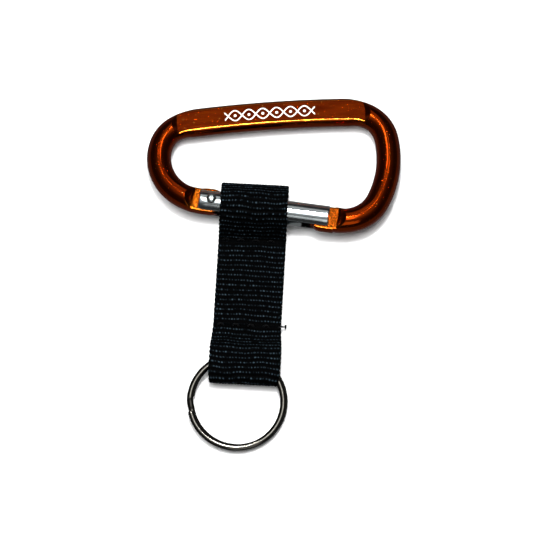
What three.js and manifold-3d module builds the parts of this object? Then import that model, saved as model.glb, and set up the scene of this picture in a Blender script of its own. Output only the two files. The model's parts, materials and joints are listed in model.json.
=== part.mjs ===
// Carabiner keyring: a sprung-gate aluminium carabiner, a loop of webbing sewn round its gate,
// and a split ring held in the webbing's lower loop. Millimetres, +Z up, lying on a table.
import * as THREE from 'three';
import { mergeVertices } from 'three/addons/utils/BufferGeometryUtils.js';
import Module from 'manifold-3d';

const wasm = await Module();
wasm.setup();

// ---------------------------------------------------------------- driving dimensions

const gap = 0.3;                      // clearance left between neighbouring pieces

// The carabiner lies in its own plane: u to the right, v towards the spine, w up.
const rodDiameter = 7;
const gateSlope = -8.06;              // degrees, direction of the gate from its hinge
const frameTilt = -3.2;               // degrees about X: the webbing under the gate lifts that side
const hingeHeight = 4.97;             // hinge centre above the table

// The rod is bent cold: a start point, a heading and then a list of stretches.
const rodStart = { u: -3.8, v: 0.7, heading: 167 };
const rodStretches = [
  { length: 1.0, turn: 0 },
  { length: 22.0, turn: 94.6 },       // bend beside the hinge
  { length: 10.9, turn: 64.4 },       // bend into the spine
  { length: 46.7, turn: 7.2 },        // spine, very slightly bowed
  { length: 14.3, turn: 79.3 },       // bend out of the spine
  { length: 20.0, turn: 38.6 },       // wide nose side
  { length: 13.4, turn: 70.9 },       // bend to the nose
  { length: 1.8, turn: 0 },
];

// Cross-sections: width in the carabiner's plane, thickness across it, and the pressed flat's width.
const roundRod = { width: rodDiameter, thickness: 6.95, flat: 0.8 };
const pressedSpine = { width: 8.4, thickness: 4.4, flat: 5.9 };
const pressedTongue = { width: 7.4, thickness: 3.0, flat: 6.6 };
const spineFlat = { start: 30.3, end: 84.9, ramp: 1.6, spread: 6 };   // distances along the rod
const tongueFlat = { length: 1.4, ramp: 2.6 };             // at both ends of the rod
const rodStep = 1.6;                  // spacing of cross-sections along the rod
const flankFacets = 7;

// Hinge tongue: a round plate about the hinge, with a flat facet that the plunger bears on.
const tongueRadius = 3.65;
const camFacet = 3.05;                 // facet's distance from the hinge
const tongueBack = -4.1;

// Nose tongue, measured along the gate from the hinge.
const noseTip = 29.9;
const noseShoulder = 34.25;
const noseRoot = 35.6;
const noseInner = 1.8;
const noseOuter = -4.2;
const noseShoulderInner = 3.3;
const noseTipRadius = 2.4;

// Gate: a round bar, slotted at both ends and drilled for the spring.
const gateDiameter = 7;
const gateBack = -3.5;
const gateFront = 33.95;
const gateChamfer = 0.35;
const slotWidth = pressedTongue.thickness + 2 * gap;
const hingeSlotEnd = tongueRadius + gap;
const noseSlotStart = 26.4;
const springBore = { radius: 1.9, end: 18.6 };

// Rivet, plunger and spring.
const rivet = { shank: 1.1, head: 1.45, rise: 0.65 };
const plunger = { radius: 1.6, length: 3.4, bevel: 0.3, pin: 0.7, pinLength: 1.6 };
const spring = { radius: 1.3, wire: 0.22, turns: 9, clearance: 0.2 };

// Webbing: one 20 mm strap doubled and sewn, laid out along y with the gate crossing at y = 0.
const strapWidth = 19.8;
const ply = 1.1;                      // thickness of one layer of webbing
const strapCrossing = 12.15;             // distance right of the hinge where it crosses the gate
const strapLean = -3.2;               // degrees about Z
const crest = { radius: 5.1, height: 3.95 };    // inner arc over the gate
const topFold = { y: 4.5, height: 3.4 };        // centre of the slack fold above the gate
const upperFlex = -10.7;              // webbing bends here, just below the upper seam
const lowerFlex = -32.3;              // and here, just above the lower seam
const upperSeam = -8.8;
const lowerSeam = -34.3;
const throat = -7.7;                  // where the two layers meet below the gate
const ringLoop = { start: -37.2, crown: -43, end: -51.9, height: 5.7, ease: 2.8 };
const thread = { radius: 0.25, room: 0.15, groove: 0.42, inset: 1.3, pitch: 2.4, wave: 0.1 };
const threadTail = 1.2;

// Split ring: flat wire wound twice round, with the crossover beside its two ends.
const ringCentre = { x: 7.5, y: -58.5 };   // from the hinge
const ringOuter = 14.1;
const ringWire = { radial: 1.8, axial: 1.1, bevel: 0.3, pitch: 1.2 };
const ringCrossover = 183;            // degrees
const ringEndGap = 9;                 // degrees from the crossover's middle to each end
const ringTilt = 4.0;                 // degrees about X: its top rests on the webbing
const ringCentreHeight = 2.16;

// ---------------------------------------------------------------- materials

function metal(color, roughness) {
  return new THREE.MeshStandardMaterial({ color, roughness, metalness: 1 });
}

const anodised = metal(0x9c4a10, 0.3);
const bareAluminium = metal(0xb9bbbd, 0.32);
const springSteel = metal(0x9a9ca0, 0.35);
const nickel = metal(0x5f5a55, 0.22);
const nylon = new THREE.MeshStandardMaterial({ color: 0x0c0d10, roughness: 0.85, metalness: 0 });

// ---------------------------------------------------------------- solids

const radians = THREE.MathUtils.degToRad;

function solid(geometry) {
  geometry.deleteAttribute('normal');
  geometry.deleteAttribute('uv');
  const merged = mergeVertices(geometry, 1e-5);
  return new wasm.Manifold(new wasm.Mesh({
    numProp: 3,
    vertProperties: new Float32Array(merged.attributes.position.array),
    triVerts: new Uint32Array(merged.index.array),
  }));
}

function geometryOf(body) {
  const raw = body.getMesh();
  const geometry = new THREE.BufferGeometry();
  geometry.setAttribute('position', new THREE.BufferAttribute(new Float32Array(raw.vertProperties), 3));
  geometry.setIndex(Array.from(raw.triVerts));
  return geometry;
}

function named(name, body, material) {
  const mesh = new THREE.Mesh(geometryOf(body), material);
  mesh.geometry.computeVertexNormals();
  mesh.name = name;
  return mesh;
}

// A closed skin through a row of equal rings of points, with a fan over each end.
function loft(rings) {
  const count = rings[0].length;
  const points = rings.flat();
  const index = [];
  for (let ring = 0; ring < rings.length - 1; ring += 1) {
    for (let i = 0; i < count; i += 1) {
      const a = ring * count + i;
      const b = ring * count + (i + 1) % count;
      index.push(a, b, b + count, a, b + count, a + count);
    }
  }
  for (const end of [0, rings.length - 1]) {
    const centre = new THREE.Vector3();
    rings[end].forEach((point) => centre.addScaledVector(point, 1 / count));
    points.push(centre);
    const hub = points.length - 1;
    for (let i = 0; i < count; i += 1) {
      const a = end * count + i;
      const b = end * count + (i + 1) % count;
      index.push(...(end === 0 ? [hub, b, a] : [hub, a, b]));
    }
  }
  const geometry = new THREE.BufferGeometry().setFromPoints(points);
  geometry.setIndex(index);
  const body = solid(geometry);
  return body.volume() > 0 ? body : solid(flipped(geometry));
}

function flipped(geometry) {
  const index = Array.from(geometry.index.array);
  for (let i = 0; i < index.length; i += 3) {
    [index[i], index[i + 1]] = [index[i + 1], index[i]];
  }
  geometry.setIndex(index);
  return geometry;
}

// An outline drawn in the carabiner's plane, given a thickness from low to high.
function plate(shape, low, high) {
  const depth = high - low;
  const geometry = new THREE.ExtrudeGeometry(shape, { depth, bevelEnabled: false, curveSegments: 10 });
  return solid(geometry.translate(0, 0, low));
}

function block(lowX, highX, lowY, highY, lowZ, highZ) {
  const geometry = new THREE.BoxGeometry(highX - lowX, highY - lowY, highZ - lowZ);
  geometry.translate((lowX + highX) / 2, (lowY + highY) / 2, (lowZ + highZ) / 2);
  return solid(geometry);
}

// A turned piece whose profile is given as [distance along x, radius].
function turned(profile, segments = 32) {
  const points = profile.map(([along, radius]) => new THREE.Vector2(radius, along));
  return solid(new THREE.LatheGeometry(points, segments).rotateZ(-Math.PI / 2));
}

function upright(radius, low, high) {
  const geometry = new THREE.CylinderGeometry(radius, radius, high - low, 24);
  return solid(geometry.rotateX(Math.PI / 2).translate(0, 0, (low + high) / 2));
}

// ---------------------------------------------------------------- carabiner frame

// A rod bent in a plane: each stretch is straight or an arc.
class BentRod {
  constructor(start, stretches) {
    this.stretches = stretches;
    this.start = start;
    this.length = stretches.reduce((sum, stretch) => sum + stretch.length, 0);
  }

  at(distance) {
    let { u, v } = this.start;
    let heading = radians(this.start.heading);
    let left = distance;
    for (const stretch of this.stretches) {
      const run = Math.min(left, stretch.length);
      const turn = radians(stretch.turn) * run / stretch.length;
      const chord = turn === 0 ? run : run * Math.sin(turn / 2) / (turn / 2);
      u += chord * Math.cos(heading - turn / 2);
      v += chord * Math.sin(heading - turn / 2);
      heading -= turn;
      left -= run;
      if (left <= 0) break;
    }
    return { u, v, heading };
  }
}

// The pressed outline: two flats joined by bulging flanks, as [across, up] points.
function rodOutline({ width, thickness, flat }) {
  const half = thickness / 2;
  const bulge = (width - flat) / 2;
  const radius = (half * half + bulge * bulge) / (2 * bulge);
  const centre = width / 2 - radius;
  const swing = Math.atan2(half, flat / 2 - centre);
  const flank = [];
  for (let i = 0; i <= flankFacets; i += 1) {
    const angle = swing * (2 * i / flankFacets - 1);
    flank.push([centre + radius * Math.cos(angle), radius * Math.sin(angle)]);
  }
  return [...flank, ...flank.map(([across, up]) => [-across, -up])];
}

function mixSections(a, b, share) {
  return {
    width: a.width + (b.width - a.width) * share,
    thickness: a.thickness + (b.thickness - a.thickness) * share,
    flat: a.flat + (b.flat - a.flat) * share,
  };
}

// How far the press has closed at a distance from a flat's edge: 1 on the flat, 0 past its ramp.
function pressed(outside, ramp) {
  return THREE.MathUtils.clamp(1 - outside / ramp, 0, 1);
}

function rodSection(distance, length) {
  const fromEnd = Math.min(distance, length - distance) - tongueFlat.length;
  const fromSpine = Math.max(spineFlat.start - distance, distance - spineFlat.end);
  const tongue = pressed(fromEnd, tongueFlat.ramp);
  if (tongue > 0) {
    return mixSections(roundRod, pressedTongue, tongue);
  }
  const section = mixSections(roundRod, pressedSpine, pressed(fromSpine, spineFlat.ramp));
  const spread = 1 - THREE.MathUtils.smoothstep(fromSpine, -spineFlat.spread, spineFlat.ramp);
  section.width = THREE.MathUtils.lerp(roundRod.width, pressedSpine.width, spread);
  return section;
}

function rodStations(length) {
  const stations = new Set([0, length]);
  for (const edge of [tongueFlat.length, length - tongueFlat.length - tongueFlat.ramp]) {
    stations.add(edge);
    stations.add(edge + tongueFlat.ramp);
  }
  for (const edge of [spineFlat.start - spineFlat.ramp, spineFlat.end]) {
    stations.add(edge);
    stations.add(edge + spineFlat.ramp);
  }
  const fixed = [...stations].sort((a, b) => a - b);
  const all = [];
  fixed.slice(1).forEach((next, i) => {
    const steps = Math.ceil((next - fixed[i]) / rodStep);
    for (let step = 0; step < steps; step += 1) {
      all.push(fixed[i] + (next - fixed[i]) * step / steps);
    }
  });
  return [...all, length];
}

function rodBody() {
  const rod = new BentRod(rodStart, rodStretches);
  const rings = rodStations(rod.length).map((distance) => {
    const { u, v, heading } = rod.at(distance);
    const outline = rodOutline(rodSection(distance, rod.length));
    return outline.map(([across, up]) => new THREE.Vector3(
      u - across * Math.sin(heading),
      v + across * Math.cos(heading),
      up,
    ));
  });
  return loft(rings);
}

// The tongues are drawn with the gate along x, then turned to the gate's slope.
function hingeTongue() {
  const facetHalf = Math.sqrt(tongueRadius ** 2 - camFacet ** 2);
  const facetAngle = Math.atan2(facetHalf, camFacet);
  const outline = new THREE.Shape();
  outline.moveTo(tongueBack, -tongueRadius);
  outline.lineTo(0, -tongueRadius);
  outline.absarc(0, 0, tongueRadius, -Math.PI / 2, -facetAngle, false);
  outline.lineTo(camFacet, facetHalf);
  outline.absarc(0, 0, tongueRadius, facetAngle, Math.PI / 2, false);
  outline.lineTo(tongueBack, tongueRadius);
  const half = pressedTongue.thickness / 2;
  return plate(outline, -half, half);
}

function noseTongue() {
  const outline = new THREE.Shape();
  outline.moveTo(noseRoot, noseOuter);
  outline.lineTo(noseRoot, noseShoulderInner);
  outline.lineTo(noseShoulder, noseShoulderInner);
  outline.lineTo(noseShoulder, noseInner);
  outline.lineTo(noseTip, noseInner);
  const cornerX = noseTip + noseTipRadius;
  const cornerY = noseOuter + noseTipRadius;
  outline.lineTo(noseTip, cornerY);
  outline.absarc(cornerX, cornerY, noseTipRadius, Math.PI, 1.5 * Math.PI, false);
  const half = pressedTongue.thickness / 2;
  return plate(outline, -half, half);
}

function carabinerFrame() {
  const hole = upright(rivet.shank + gap, -rodDiameter, rodDiameter);
  const tongues = hingeTongue().subtract(hole).add(noseTongue());
  const turnedTongues = tongues.rotate([0, 0, gateSlope]);
  return named('carabiner_frame', rodBody().add(turnedTongues), anodised);
}

// ---------------------------------------------------------------- gate, drawn along x from its hinge

function gateBar() {
  const radius = gateDiameter / 2;
  const bar = turned([
    [gateBack, 0],
    [gateBack, radius - gateChamfer],
    [gateBack + gateChamfer, radius],
    [gateFront - gateChamfer, radius],
    [gateFront, radius - gateChamfer],
    [gateFront, 0],
  ], 40);
  const half = slotWidth / 2;
  const hingeSlot = block(gateBack - 1, hingeSlotEnd, -gateDiameter, gateDiameter, -half, half);
  const noseSlot = block(noseSlotStart, gateFront + 1, -gateDiameter, noseInner + gap, -half, half);
  const bore = turned([
    [hingeSlotEnd - 1, 0],
    [hingeSlotEnd - 1, springBore.radius],
    [springBore.end, springBore.radius],
    [springBore.end, 0],
  ]);
  const rivetHole = upright(rivet.shank + gap, -gateDiameter, gateDiameter);
  const cut = [hingeSlot, noseSlot, bore, rivetHole].reduce((body, tool) => body.subtract(tool), bar);
  return named('gate', cut, bareAluminium);
}

function hingeRivet() {
  const seat = gateDiameter / 2 + gap;
  const dome = [];
  for (let i = 0; i <= 5; i += 1) {
    const angle = Math.PI / 2 * i / 5;
    dome.push(new THREE.Vector2(rivet.head * Math.cos(angle), seat + rivet.rise * Math.sin(angle)));
  }
  const upper = [new THREE.Vector2(rivet.shank, seat), ...dome];
  const lower = upper.map((point) => new THREE.Vector2(point.x, -point.y)).reverse();
  const geometry = new THREE.LatheGeometry([...lower, ...upper], 24);
  return named('hinge_rivet', solid(geometry.rotateX(Math.PI / 2)), bareAluminium);
}

const plungerFace = camFacet + gap;
const springSeat = plungerFace + plunger.length + spring.clearance;

function gatePlunger() {
  const back = plungerFace + plunger.length;
  const body = turned([
    [plungerFace, 0],
    [plungerFace, plunger.radius - plunger.bevel],
    [plungerFace + plunger.bevel, plunger.radius],
    [back, plunger.radius],
    [back, plunger.pin],
    [back + plunger.pinLength, plunger.pin],
    [back + plunger.pinLength, 0],
  ], 24);
  return named('gate_plunger', body, springSteel);
}

function gateSpring() {
  const stepsPerTurn = 10;
  const steps = spring.turns * stepsPerTurn;
  const start = springSeat + spring.wire;
  const end = springBore.end - spring.clearance - spring.wire;
  const rings = [];
  for (let i = 0; i <= steps; i += 1) {
    const angle = 2 * Math.PI * i / stepsPerTurn;
    const outward = new THREE.Vector3(0, Math.cos(angle), Math.sin(angle));
    const middle = outward.clone().multiplyScalar(spring.radius);
    middle.x = THREE.MathUtils.lerp(start, end, i / steps);
    const ring = [];
    for (let side = 0; side < 6; side += 1) {
      const turn = 2 * Math.PI * side / 6;
      const point = middle.clone().addScaledVector(outward, spring.wire * Math.cos(turn));
      point.x += spring.wire * Math.sin(turn);
      ring.push(point);
    }
    rings.push(ring);
  }
  return named('gate_spring', loft(rings), springSteel);
}

// ---------------------------------------------------------------- webbing

// An outline in the webbing's side view (y along it, z up) swept across its width.
function acrossStrap(shape, width = strapWidth) {
  const geometry = new THREE.ExtrudeGeometry(shape, { depth: width, bevelEnabled: false, curveSegments: 14 });
  geometry.translate(0, 0, -width / 2);
  const sideView = new THREE.Matrix4().makeBasis(
    new THREE.Vector3(0, 1, 0),
    new THREE.Vector3(0, 0, 1),
    new THREE.Vector3(1, 0, 0),
  );
  return solid(geometry.applyMatrix4(sideView));
}

function strapRod(y, z, radius, width = strapWidth) {
  const circle = new THREE.Shape();
  circle.absarc(y, z, radius, 0, 2 * Math.PI, false);
  return acrossStrap(circle, width);
}

// The smallest rounded outline round two circles and a flat foot reaching to the throat.
function gateLoopOutline(inset) {
  const foot = inset;
  const foldRadius = topFold.height - inset;
  const crestRadius = crest.radius + ply - inset;
  const rise = crest.height - topFold.height;
  const reach = topFold.y;
  const between = Math.hypot(reach, rise);
  const tangent = Math.PI / 2 - Math.atan2(rise, reach) - Math.asin((crestRadius - foldRadius) / between);
  const throatHeight = 2 * ply - inset;
  const drop = crest.height - throatHeight;
  const run = -throat + inset;
  const distance = Math.hypot(run, drop);
  const leaving = Math.PI + Math.atan2(drop, run) - Math.acos(crestRadius / distance);
  const outline = new THREE.Shape();
  outline.moveTo(throat - inset, foot);
  outline.lineTo(topFold.y, foot);
  outline.absarc(topFold.y, topFold.height, foldRadius, -Math.PI / 2, tangent, false);
  outline.absarc(0, crest.height, crestRadius, tangent, leaving, false);
  outline.lineTo(throat - inset, throatHeight);
  return outline;
}

function grooveAt(y, width) {
  const half = thread.radius + thread.room;
  return block(-width, width, y - half, y + half, 2 * ply - thread.groove, 2 * ply + 1);
}

function webbingGateLoop() {
  const outer = acrossStrap(gateLoopOutline(0));
  const pocket = acrossStrap(gateLoopOutline(ply), 2 * strapWidth);
  const tail = block(-strapWidth / 2, strapWidth / 2, upperFlex, throat + ply, 0, 2 * ply);
  const socket = strapRod(upperFlex, ply, ply + gap, 2 * strapWidth);
  const body = outer.subtract(pocket).add(tail).subtract(socket).subtract(grooveAt(upperSeam, strapWidth));
  return named('webbing_gate_loop', body, nylon);
}

function webbingMiddle() {
  const half = strapWidth / 2;
  const flat = block(-half, half, lowerFlex, upperFlex, 0, 2 * ply);
  const body = flat.add(strapRod(upperFlex, ply, ply)).add(strapRod(lowerFlex, ply, ply));
  return named('webbing_middle', body, nylon);
}

// The loop that holds the ring: flat underneath, humped over the ring and folded at its end.
function ringLoopOutline(inset) {
  const top = ringLoop.height - inset;
  const seam = 2 * ply - inset;
  const foldRadius = (ringLoop.height - 2 * inset) / 2;
  const foldMiddle = ringLoop.end + ringLoop.height / 2;
  const start = ringLoop.start + inset;
  const outline = new THREE.Shape();
  outline.moveTo(foldMiddle, inset);
  outline.lineTo(start, inset);
  outline.lineTo(start, seam);
  const leave = ringLoop.start - ringLoop.ease;
  const arrive = ringLoop.crown + ringLoop.ease;
  outline.bezierCurveTo(leave, seam, arrive, top, ringLoop.crown, top);
  outline.lineTo(foldMiddle, top);
  outline.absarc(foldMiddle, ringLoop.height / 2, foldRadius, Math.PI / 2, 1.5 * Math.PI, false);
  return outline;
}

function ringClearance() {
  const inner = ringOuter - ringWire.radial - gap;
  const outer = ringOuter + gap;
  const half = (ringWire.pitch + ringWire.axial) / 2 + gap;
  const corners = [[inner, -half], [outer, -half], [outer, half], [inner, half], [inner, -half]];
  const geometry = new THREE.LatheGeometry(corners.map(([radius, z]) => new THREE.Vector2(radius, z)), 96);
  return solid(geometry.rotateX(Math.PI / 2));
}

function webbingRingLoop(ringInStrap) {
  const outer = acrossStrap(ringLoopOutline(0));
  const pocket = acrossStrap(ringLoopOutline(ply), 2 * strapWidth);
  const tail = block(-strapWidth / 2, strapWidth / 2, ringLoop.start, lowerFlex, 0, 2 * ply);
  const socket = strapRod(lowerFlex, ply, ply + gap, 2 * strapWidth);
  const ringPath = ringClearance().transform(ringInStrap.elements);
  const body = outer.subtract(pocket).add(tail).subtract(socket).subtract(ringPath);
  return named('webbing_ring_loop', body.subtract(grooveAt(lowerSeam, strapWidth)), nylon);
}

// A row of stitches: one thread that rises and dips across the webbing in its groove.
function stitchRow(name, y, tail) {
  const left = -strapWidth / 2 + thread.inset;
  const right = strapWidth / 2 - thread.inset + tail;
  const steps = Math.round((right - left) / thread.pitch) * 6;
  const rings = [];
  for (let i = 0; i <= steps; i += 1) {
    const x = THREE.MathUtils.lerp(left, right, i / steps);
    const z = 2 * ply + thread.wave * Math.cos(2 * Math.PI * (x - left) / thread.pitch);
    const ring = [];
    for (let side = 0; side < 8; side += 1) {
      const turn = 2 * Math.PI * side / 8;
      ring.push(new THREE.Vector3(x, y + thread.radius * Math.cos(turn), z + thread.radius * Math.sin(turn)));
    }
    rings.push(ring);
  }
  return named(name, loft(rings), nylon);
}

// ---------------------------------------------------------------- split ring, drawn about z

function splitRing() {
  const stepsPerTurn = 50;
  const first = ringEndGap;
  const last = 720 - ringEndGap;
  const middle = ringOuter - ringWire.radial / 2;
  const halfRadial = ringWire.radial / 2;
  const halfAxial = ringWire.axial / 2;
  const bevel = ringWire.bevel;
  const section = [
    [halfRadial, -halfAxial + bevel], [halfRadial, halfAxial - bevel], [halfRadial - bevel, halfAxial],
    [bevel - halfRadial, halfAxial], [-halfRadial, halfAxial - bevel], [-halfRadial, bevel - halfAxial],
    [bevel - halfRadial, -halfAxial], [halfRadial - bevel, -halfAxial],
  ];
  const rings = [];
  const steps = 2 * stepsPerTurn;
  for (let i = 0; i <= steps; i += 1) {
    const degrees = THREE.MathUtils.lerp(first, last, i / steps);
    const crossing = THREE.MathUtils.smoothstep(degrees, 360 - ringEndGap, 360 + ringEndGap);
    const z = ringWire.pitch * (0.5 - crossing);
    const angle = radians(degrees + ringCrossover);
    rings.push(section.map(([out, up]) => new THREE.Vector3(
      (middle + out) * Math.cos(angle),
      (middle + out) * Math.sin(angle),
      z + up,
    )));
  }
  return named('split_ring', loft(rings), nickel);
}

// ---------------------------------------------------------------- assembly, from the hinge's foot

function placed(x, y, z, rotationX, rotationZ, children) {
  const group = new THREE.Group();
  group.position.set(x, y, z);
  group.rotation.set(radians(rotationX), 0, radians(rotationZ));
  children.forEach((child) => group.add(child));
  return group;
}

const gateGroup = placed(0, 0, 0, 0, gateSlope, [gateBar(), hingeRivet(), gatePlunger(), gateSpring()]);
const carabiner = placed(0, 0, hingeHeight, frameTilt, 0, [carabinerFrame(), gateGroup]);

const ring = placed(ringCentre.x, ringCentre.y, ringCentreHeight, ringTilt, 0, [splitRing()]);
const strap = placed(strapCrossing, strapCrossing * Math.tan(radians(gateSlope)), 0, 0, strapLean, []);
ring.updateMatrix();
strap.updateMatrix();
const ringInStrap = strap.matrix.clone().invert().multiply(ring.matrix);
strap.add(
  webbingGateLoop(),
  webbingMiddle(),
  webbingRingLoop(ringInStrap),
  stitchRow('upper_stitching', upperSeam, 0),
  stitchRow('lower_stitching', lowerSeam, threadTail + thread.inset),
);

// The origin is on the table under the middle of the whole keyring.
const keyring = new THREE.Group();
keyring.add(carabiner, strap, ring);
keyring.updateMatrixWorld(true);
const box = new THREE.Box3().setFromObject(keyring, true);
const middle = box.getCenter(new THREE.Vector3());
keyring.position.set(-middle.x, -middle.y, -box.min.z);

export default keyring;
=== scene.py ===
"""Looks of the carabiner keyring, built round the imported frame. Shapes are drawn in millimetres in
local frames taken from the joints, and placed in metres in the frame's own axes."""
import json
import math

import bpy
import numpy as np
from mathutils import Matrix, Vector


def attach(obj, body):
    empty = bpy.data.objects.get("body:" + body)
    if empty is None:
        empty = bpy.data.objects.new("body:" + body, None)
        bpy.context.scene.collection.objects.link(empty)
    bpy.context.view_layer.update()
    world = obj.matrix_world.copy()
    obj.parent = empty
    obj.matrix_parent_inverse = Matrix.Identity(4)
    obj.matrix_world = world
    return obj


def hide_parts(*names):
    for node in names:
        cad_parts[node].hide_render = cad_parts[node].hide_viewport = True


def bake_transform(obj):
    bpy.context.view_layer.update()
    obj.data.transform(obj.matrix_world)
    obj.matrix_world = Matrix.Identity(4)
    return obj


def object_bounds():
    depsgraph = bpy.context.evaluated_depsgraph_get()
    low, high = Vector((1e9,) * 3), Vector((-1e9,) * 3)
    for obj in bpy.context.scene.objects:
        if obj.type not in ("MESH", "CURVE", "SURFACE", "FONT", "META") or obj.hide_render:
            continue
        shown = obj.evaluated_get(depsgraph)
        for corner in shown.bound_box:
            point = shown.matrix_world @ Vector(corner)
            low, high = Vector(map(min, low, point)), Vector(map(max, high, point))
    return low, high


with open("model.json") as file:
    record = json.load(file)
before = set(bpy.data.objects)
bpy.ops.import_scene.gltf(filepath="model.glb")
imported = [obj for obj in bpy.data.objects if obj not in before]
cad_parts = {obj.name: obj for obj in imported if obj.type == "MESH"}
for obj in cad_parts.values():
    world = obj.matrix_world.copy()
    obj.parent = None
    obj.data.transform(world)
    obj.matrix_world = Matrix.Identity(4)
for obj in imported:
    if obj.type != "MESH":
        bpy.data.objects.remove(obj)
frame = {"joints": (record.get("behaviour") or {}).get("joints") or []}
cad_low, cad_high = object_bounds()

MM = 0.001
JOINTS = {joint["name"]: joint for joint in frame["joints"]}

# ------------------------------------------------------------------ driving dimensions, millimetres

# Carabiner rod: start in the carabiner's plane from the hinge, then stretches of (length, turn).
TONGUE_FACET = 3.05                     # cam facet's distance from the hinge, along the gate
GATE_SLOPE = 8.06                       # degrees that the gate falls away from +X
ROD_STRETCHES = [
    (4.2, 0.0), (2.7, 4.94),            # hinge tongue and its neck
    (1.0, 0.0), (22.0, 94.6), (10.9, 64.4), (46.7, 7.2),
    (14.3, 79.3), (20.0, 38.6), (13.4, 70.9), (1.8, 0.0),
    (6.1, 0.0),                         # nose tongue
]
NECK = 6.9                              # rod's own start, from the tongue's facet
ROD_LENGTH = 130.1                      # from there to the nose tongue's root
ROUND = {"half": 3.5, "dome": 3.475, "top": 3.475}
SPINE = {"half": 4.2, "dome": 3.1, "top": 2.2}
TONGUE = {"half": 3.7, "dome": 3.32, "top": 1.5}
SPINE_FLAT = {"start": 30.3, "end": 84.9, "ramp": 1.75, "spread": 6.0}
SPINE_FLAT_SKEW = (0.42, -0.5)          # slant of the press marks' ends across the rod
TONGUE_FLAT = {"length": 1.4, "ramp": 2.5}
TONGUE_RADIUS = 3.65
TONGUE_LIP = 0.45                       # the hinge tongue stands this far proud on its window side
NOSE_OUTER, NOSE_INNER, NOSE_SHOULDER = 4.2, 1.8, 3.3
NOSE_LENGTH, NOSE_SHOULDER_LENGTH, NOSE_CORNER = 5.7, 1.35, 2.4
FILLET = 0.13                           # softened edge of each pressed flat

# Gate, along x from its hinge.
GATE_RADIUS = 3.5
GATE_BACK, GATE_FRONT = -3.5, 33.95
GATE_CHAMFER = 0.4
SLOT_HALF, HINGE_SLOT_END, NOSE_SLOT_START, NOSE_SLOT_WALL = 1.8, 3.95, 26.4, 2.1
BORE_RADIUS, BORE_END = 1.9, 18.6
RIVET_SHANK, RIVET_HEAD, RIVET_RISE, RIVET_CLEARANCE = 1.1, 1.35, 0.6, 0.3
PLUNGER_RADIUS, PLUNGER_LENGTH, PLUNGER_PIN, PLUNGER_PIN_LENGTH = 1.6, 3.4, 0.7, 1.6
SPRING_RADIUS, SPRING_WIRE, SPRING_TURNS = 1.3, 0.22, 9

# Webbing, along y from the gate crossing.
STRAP_HALF = 9.72
PLY = 1.1
RIB_PITCH, YARN_PITCH = 1.46, 0.86
RELIEF = 0.3                            # height of the ribs above their valleys
SCALLOP = 0.26
UPPER_FLEX_Y, LOWER_FLEX_Y, BEND_HALF = -10.7, -32.3, 1.6
UPPER_SEAM_Y, LOWER_SEAM_Y = -8.8, -34.3
CUT_Y = -21.5                           # the two webbing pieces meet in a valley here
CREST = (0.0, 3.95, 5.1)                # y, z and inner radius over the gate
TOP_FOLD = (4.5, 3.4)                   # y and outer radius of the slack fold
THROAT_Y = -7.7
RING_LOOP_START, RING_LOOP_CROWN, RING_LOOP_END, RING_LOOP_HEIGHT = -37.2, -43.0, -51.9, 5.7

# Split ring.
RING_OUTER, RING_RADIAL, RING_AXIAL, RING_PITCH = 14.1, 1.8, 1.1, 1.2
RING_CROSSOVER, RING_END_GAP = 183.0, 9.0
COIL_SHIFT = (0.34, 0.4)                # the lower coil isn't quite under the upper one
RING_SQUARENESS = 1.85                  # exponent of the wire's oval section; 2 is an ellipse
RING_TAPER = {"share": 0.18, "length": 0.12}    # rounding of the wire's cut ends


# ------------------------------------------------------------------ local frames and meshes

def unit(vector):
    vector = np.array(vector, float)
    return vector / np.linalg.norm(vector)


class Place:
    """A local frame: an origin in metres, an x direction and a z direction."""

    def __init__(self, origin, x_axis, z_axis):
        z = unit(z_axis)
        x = unit(np.array(x_axis, float) - np.dot(x_axis, z) * z)
        self.origin = np.array(origin, float)
        self.axes = np.array([x, np.cross(z, x), z])

    def __call__(self, points):
        return self.origin + (np.asarray(points, float) * MM) @ self.axes

    def local(self, points):
        return (np.asarray(points, float) - self.origin) @ self.axes.T / MM


hinge = JOINTS["gate_hinge"]
along_gate = -np.array(JOINTS["strap_swing"]["axis"], float)
across_strap = -np.array(JOINTS["upper_flex"]["axis"], float)
on_carabiner = Place(hinge["pos_m"], (1, 0, 0), hinge["axis"])
on_gate = Place(hinge["pos_m"], along_gate, hinge["axis"])
flex_place = Place(JOINTS["upper_flex"]["pos_m"], across_strap, (0, 0, 1))
strap_origin = flex_place((0, -UPPER_FLEX_Y, -PLY))
on_strap = Place(strap_origin, across_strap, (0, 0, 1))
on_ring = Place(JOINTS["ring_spin"]["pos_m"], (1, 0, 0), JOINTS["ring_spin"]["axis"])


def add_mesh(name, points, faces, sharp_degrees=35.0):
    mesh = bpy.data.meshes.new(name)
    mesh.from_pydata([tuple(p) for p in points], [], faces)
    mesh.validate()
    mesh.shade_smooth()
    mesh.set_sharp_from_angle(angle=math.radians(sharp_degrees))
    piece = bpy.data.objects.new(name, mesh)
    bpy.context.scene.collection.objects.link(piece)
    return piece


def loft_faces(ring_count, side_count, first=0, closed=False):
    """Quads between rings of points, with one face over each open end."""
    ring = np.arange(ring_count if closed else ring_count - 1)[:, None]
    side = np.arange(side_count)[None, :]
    after = (side + 1) % side_count
    here = first + ring * side_count
    there = first + ((ring + 1) % ring_count) * side_count
    quads = np.stack([here + side, here + after, there + after, there + side], axis=-1)
    faces = quads.reshape(-1, 4).tolist()
    if not closed:
        faces.append(list(range(first + side_count - 1, first - 1, -1)))
        last = first + (ring_count - 1) * side_count
        faces.append(list(range(last, last + side_count)))
    return faces


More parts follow.
